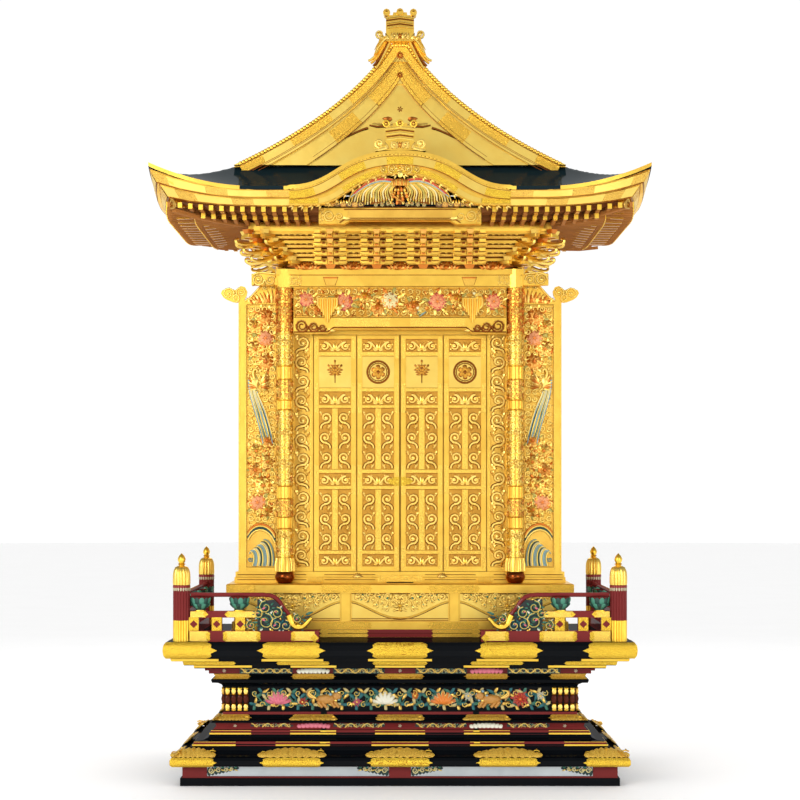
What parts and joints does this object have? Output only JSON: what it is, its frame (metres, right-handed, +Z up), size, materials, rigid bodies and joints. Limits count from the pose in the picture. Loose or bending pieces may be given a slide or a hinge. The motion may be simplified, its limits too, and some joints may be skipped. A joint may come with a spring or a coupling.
{
  "type": "temple altar dais with shrine cabinet",
  "caption": "Gilded shrine cabinet with a hipped and gabled roof and folding doors, standing on a stepped black lacquer dais with a low railing.",
  "frame": {"origin": "on the floor, under the middle of the roof's outline", "axes": "+Z up, the doors face -Y, +X to the right as one faces the doors"},
  "size_m": [1.908, 1.44, 3.0182],
  "materials": {
    "gold_leaf": "gold leaf over lacquered carved wood",
    "black_lacquer": "polished black lacquer with gilt fittings",
    "red_brown_lacquer": "red-brown lacquer with gilt fittings",
    "gilt_metal": "gilt metal",
    "dark_bronze": "polished dark bronze",
    "painted_carving": "painted carving"
  },
  "bodies": {
    "altar": {"dais_plinth": "black_lacquer", "dais_panel_band": "red_brown_lacquer", "dais_lower_moulding": "black_lacquer", "dais_waist": "black_lacquer", "dais_upper_moulding": "black_lacquer", "dais_top_board": "black_lacquer", "rail_post_front_left": "red_brown_lacquer", "rail_post_front_right": "red_brown_lacquer", "rail_post_back_left": "red_brown_lacquer", "rail_post_back_right": "red_brown_lacquer", "rail_finial_front_left": "gilt_metal", "rail_finial_front_right": "gilt_metal", "rail_finial_back_left": "gilt_metal", "rail_finial_back_right": "gilt_metal", "rail_front_left": "red_brown_lacquer", "rail_front_right": "red_brown_lacquer", "rail_side_left": "red_brown_lacquer", "rail_side_right": "red_brown_lacquer", "rail_carving_left": "painted_carving", "rail_carving_right": "painted_carving", "handrail_front_left": "red_brown_lacquer", "handrail_front_right": "red_brown_lacquer", "handrail_side_left": "red_brown_lacquer", "handrail_side_right": "red_brown_lacquer", "shrine_plinth": "gold_leaf", "shrine_floor": "gold_leaf", "column_front_left": "gold_leaf", "column_front_right": "gold_leaf", "column_back_left": "gold_leaf", "column_back_right": "gold_leaf", "column_foot_front_left": "dark_bronze", "column_foot_front_right": "dark_bronze", "column_foot_back_left": "dark_bronze", "column_foot_back_right": "dark_bronze", "wall_left": "gold_leaf", "wall_right": "gold_leaf", "wall_back": "gold_leaf", "door_frame": "gold_leaf", "wing_left": "gold_leaf", "wing_right": "gold_leaf", "tie_beam": "gold_leaf", "frieze": "gold_leaf", "head_beam": "gold_leaf", "bracket_set": "gold_leaf", "eave_soffit": "gold_leaf", "eave_fascia": "gold_leaf", "wave_beam": "gold_leaf", "wave_board": "gold_leaf", "wave_carving": "gold_leaf", "wave_ornament": "gold_leaf", "roof_main": "black_lacquer", "roof_skirt_front": "black_lacquer", "roof_skirt_back": "black_lacquer", "gable_front": "gold_leaf", "gable_back": "gold_leaf", "ridge": "gold_leaf"},
    "leaf_left_outer": {"door_left_outer": "gold_leaf"},
    "leaf_left_inner": {"door_left_inner": "gold_leaf"},
    "leaf_right_inner": {"door_right_inner": "gold_leaf"},
    "leaf_right_outer": {"door_right_outer": "gold_leaf"}
  },
  "joints": [
    {"name": "left_door", "type": "hinge", "parent": "altar", "child": "leaf_left_outer", "pos_m": [-0.3492, -0.189, 1.295], "axis": [0, 0, -1], "range_deg": [0, 95]},
    {"name": "left_fold", "type": "hinge", "parent": "leaf_left_outer", "child": "leaf_left_inner", "pos_m": [-0.175, -0.189, 1.295], "axis": [0, 0, -1], "range_deg": [0, 170]},
    {"name": "right_door", "type": "hinge", "parent": "altar", "child": "leaf_right_outer", "pos_m": [0.3492, -0.189, 1.295], "axis": [0, 0, 1], "range_deg": [0, 95]},
    {"name": "right_fold", "type": "hinge", "parent": "leaf_right_outer", "child": "leaf_right_inner", "pos_m": [0.175, -0.189, 1.295], "axis": [0, 0, 1], "range_deg": [0, 170]}
  ]
}
